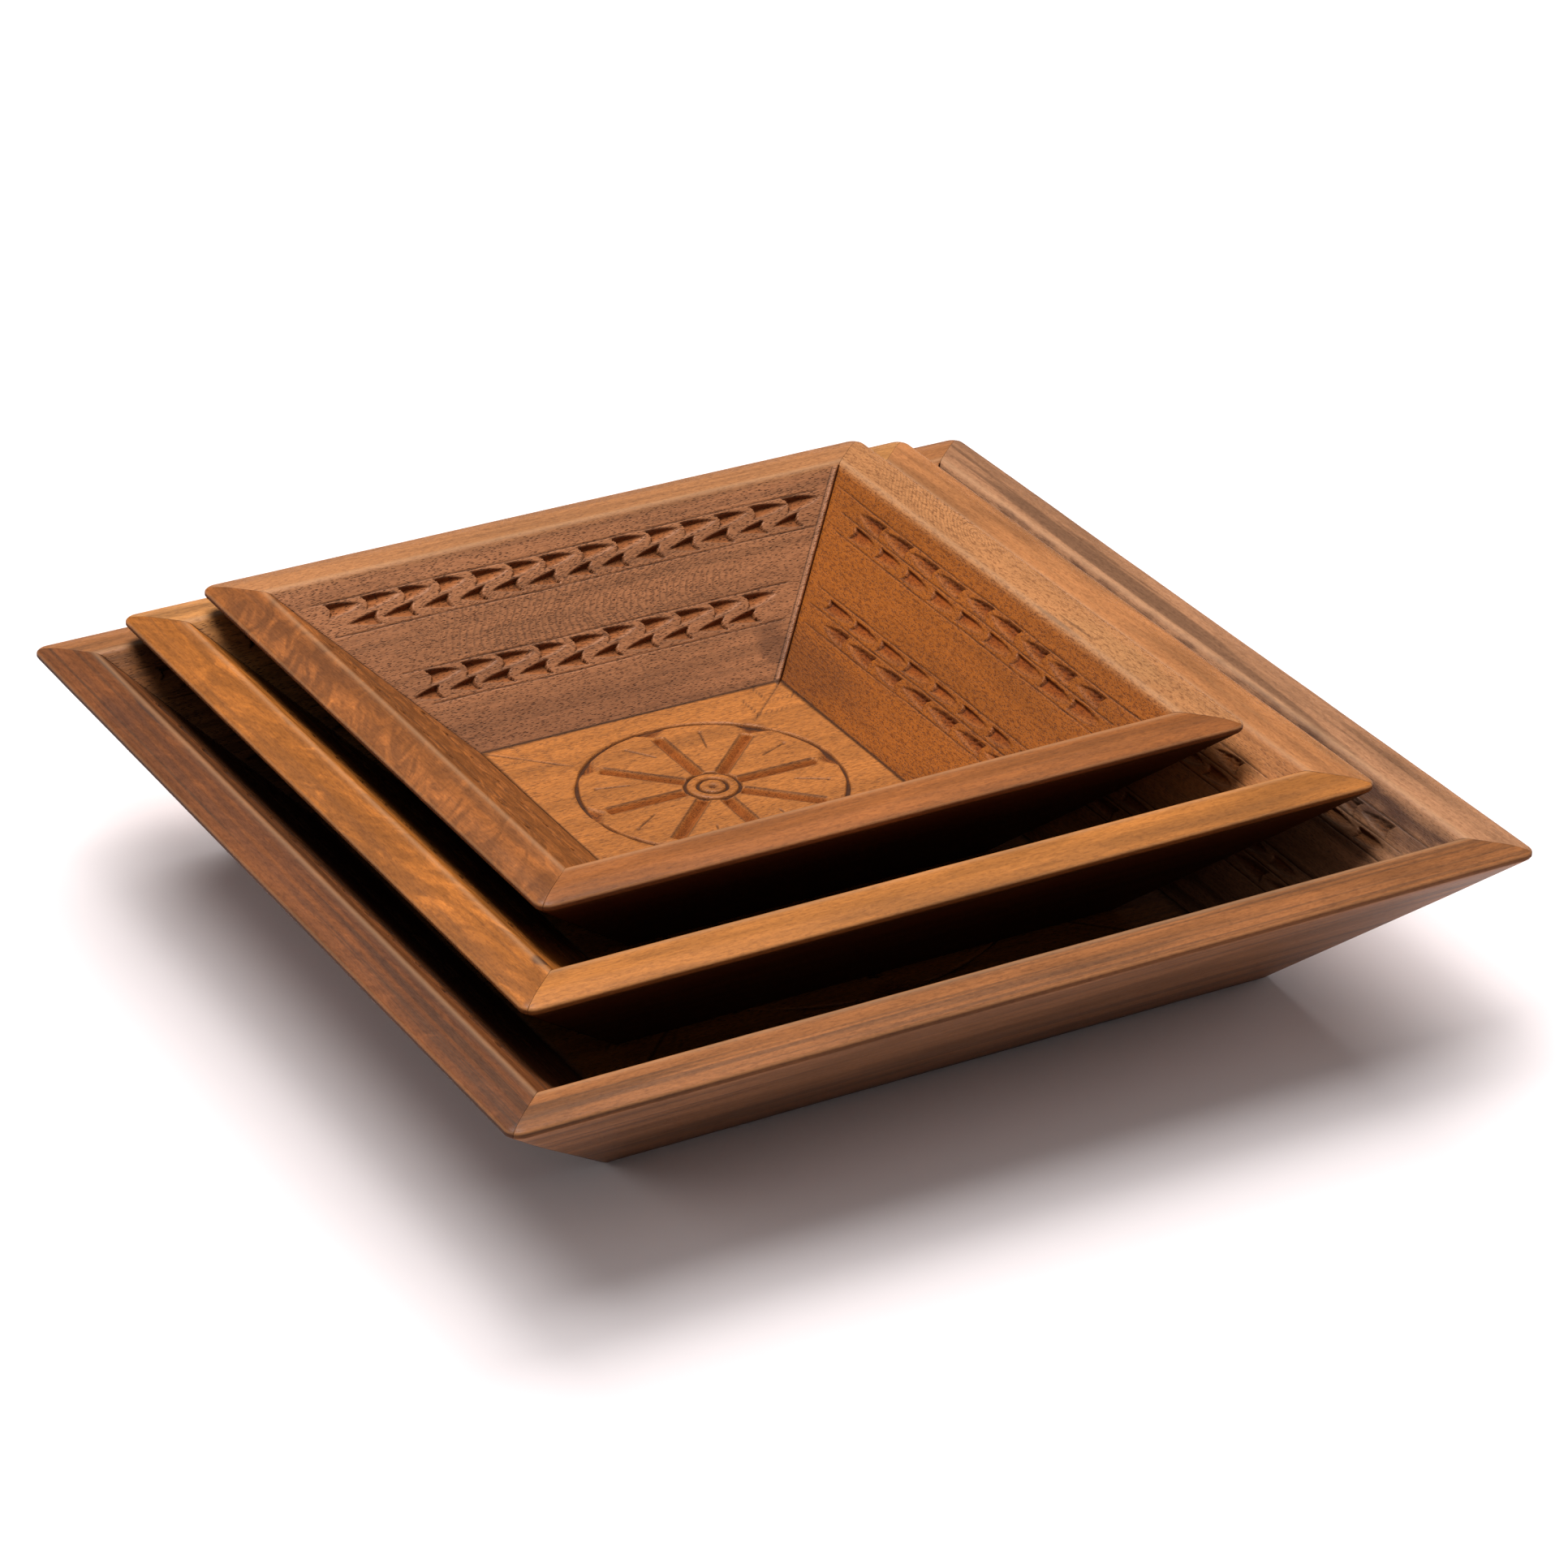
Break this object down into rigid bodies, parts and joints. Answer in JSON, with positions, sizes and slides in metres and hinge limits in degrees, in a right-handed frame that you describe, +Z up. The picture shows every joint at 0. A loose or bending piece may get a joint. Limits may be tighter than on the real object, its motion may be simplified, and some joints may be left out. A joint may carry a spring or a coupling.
{
  "type": "nested square wooden bowls",
  "caption": "Nest of square hardwood bowls with flared mitred sides, carved bands round the inside and a carved wheel on the floor.",
  "frame": {"origin": "centre of the underside of the large bowl, on the surface it stands on", "axes": "+Z up out of the bowls; X and Y along the sides; the smaller bowls lean towards +Y, the back"},
  "size_m": [0.3, 0.3, 0.067],
  "materials": {
    "large_wood": "oiled satin hardwood",
    "medium_wood": "oiled satin hardwood",
    "small_wood": "oiled satin hardwood",
    "floor_wood": "oiled satin hardwood"
  },
  "bodies": {
    "large_bowl": {"large_back_side": "large_wood", "large_left_side": "large_wood", "large_front_side": "large_wood", "large_right_side": "large_wood", "large_floor": "floor_wood"},
    "medium_bowl": {"medium_back_side": "medium_wood", "medium_left_side": "medium_wood", "medium_front_side": "medium_wood", "medium_right_side": "medium_wood", "medium_floor": "floor_wood"},
    "small_bowl": {"small_back_side": "small_wood", "small_left_side": "small_wood", "small_front_side": "small_wood", "small_right_side": "small_wood", "small_floor": "floor_wood"}
  },
  "joints": [
    {"name": "medium_lift", "type": "slide", "parent": "large_bowl", "child": "medium_bowl", "axis": [0, 0, 1], "range_m": [0, 0.06]},
    {"name": "small_lift", "type": "slide", "parent": "medium_bowl", "child": "small_bowl", "axis": [0, 0, 1], "range_m": [0, 0.06]}
  ]
}
